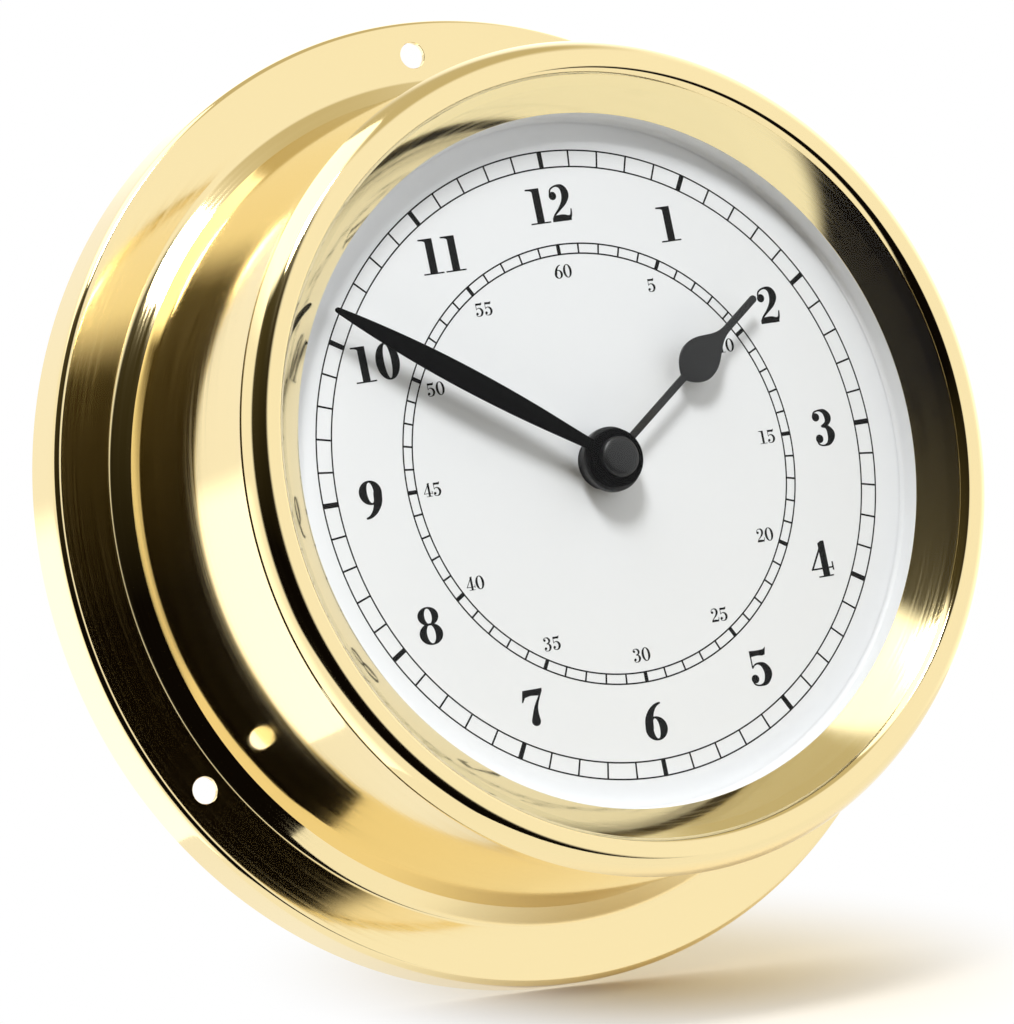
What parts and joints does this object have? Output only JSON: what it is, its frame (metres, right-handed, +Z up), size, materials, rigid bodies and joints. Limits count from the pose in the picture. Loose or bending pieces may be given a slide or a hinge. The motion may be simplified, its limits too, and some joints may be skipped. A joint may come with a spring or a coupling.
{
  "type": "ship's clock",
  "caption": "Round brass ship's clock for a wall, with a flanged waisted case, rolled bezel, white numbered dial, black hands and a geared quartz movement.",
  "frame": {"origin": "middle of the wall face, on the clock's axis", "axes": "+Z up to twelve o'clock, -Y out of the dial towards the viewer, +X to three o'clock"},
  "size_m": [0.1468, 0.0487, 0.1468],
  "materials": {
    "polished_brass": "mirror polish with fine hairlines",
    "bare_brass": "turned",
    "steel": "brushed",
    "glass": "clear polished",
    "spacer_white": "satin",
    "dial_white": "satin white with black print",
    "hand_black": "satin black",
    "housing_black": "fine matte",
    "gear_white": "moulded",
    "knob_grey": "fine matte",
    "magnet": "sintered",
    "copper_wire": "enamelled copper wire",
    "board_green": "solder mask",
    "battery_skin": "plain printed sleeve"
  },
  "bodies": {
    "case": {"case_shell": "polished_brass", "bezel_ring": "polished_brass", "funnel_ring": "polished_brass", "glass": "glass", "dial_spacer": "spacer_white", "dial_plate": "dial_white", "dial_retaining_ring": "steel", "case_clamp_ring": "steel", "clamp_screw_1": "steel", "clamp_screw_2": "steel", "clamp_screw_3": "steel", "movement_front_plate": "housing_black", "movement_cover": "housing_black", "dial_stud_left": "bare_brass", "dial_stud_right": "bare_brass", "stud_nut_left": "steel", "stud_nut_right": "steel", "stator": "steel", "coil_bobbin": "gear_white", "coil_winding": "copper_wire", "circuit_board": "board_green", "quartz_crystal": "steel", "controller_chip": "housing_black", "battery_cell": "battery_skin", "battery_contact_positive": "steel", "battery_contact_negative": "steel"},
    "minute": {"minute_arbor": "bare_brass", "clutch_washer": "steel", "minute_hand": "hand_black", "hand_cap": "hand_black"},
    "hour": {"hour_wheel": "gear_white", "hour_hand": "hand_black"},
    "motion": {"motion_wheel": "gear_white"},
    "setting": {"setting_stem": "gear_white", "setting_knob": "knob_grey"},
    "rotor": {"rotor_pinion": "gear_white", "rotor_magnet": "magnet"},
    "intermediate": {"intermediate_wheel": "gear_white"},
    "seconds": {"seconds_wheel": "gear_white"},
    "third": {"third_wheel": "gear_white"},
    "centre": {"centre_wheel": "gear_white"}
  },
  "joints": [
    {"name": "minute_turn", "type": "hinge", "parent": "case", "child": "minute", "pos_m": [0, 0, 0], "axis": [0, 1, 0], "continuous": true},
    {"name": "hour_turn", "type": "hinge", "parent": "case", "child": "hour", "pos_m": [0, 0, 0], "axis": [0, 1, 0], "continuous": true},
    {"name": "motion_turn", "type": "hinge", "parent": "case", "child": "motion", "pos_m": [0.01128, 0, -0.0041], "axis": [0, 1, 0], "continuous": true},
    {"name": "setting_turn", "type": "hinge", "parent": "case", "child": "setting", "pos_m": [0.01336, 0, 0.00771], "axis": [0, 1, 0], "continuous": true},
    {"name": "rotor_turn", "type": "hinge", "parent": "case", "child": "rotor", "pos_m": [-0.00834, 0, 0.01717], "axis": [0, 1, 0], "continuous": true},
    {"name": "intermediate_turn", "type": "hinge", "parent": "case", "child": "intermediate", "pos_m": [-0.01525, 0, 0.01466], "axis": [0, 1, 0], "continuous": true},
    {"name": "seconds_turn", "type": "hinge", "parent": "case", "child": "seconds", "pos_m": [-0.01671, 0, 0.00639], "axis": [0, 1, 0], "continuous": true},
    {"name": "third_turn", "type": "hinge", "parent": "case", "child": "third", "pos_m": [-0.00793, 0, 0.00793], "axis": [0, 1, 0], "continuous": true},
    {"name": "centre_turn", "type": "hinge", "parent": "case", "child": "centre", "pos_m": [0, 0, 0], "axis": [0, 1, 0], "continuous": true}
  ],
  "couplings": [
    {"joint": "hour_turn", "follows": "minute_turn", "ratio": 0.083333},
    {"joint": "motion_turn", "follows": "minute_turn", "ratio": -0.33333},
    {"joint": "setting_turn", "follows": "minute_turn", "ratio": 1},
    {"joint": "intermediate_turn", "follows": "rotor_turn", "ratio": -0.16667},
    {"joint": "seconds_turn", "follows": "rotor_turn", "ratio": 0.033333},
    {"joint": "third_turn", "follows": "rotor_turn", "ratio": -0.0041667},
    {"joint": "centre_turn", "follows": "rotor_turn", "ratio": 0.00055556}
  ]
}
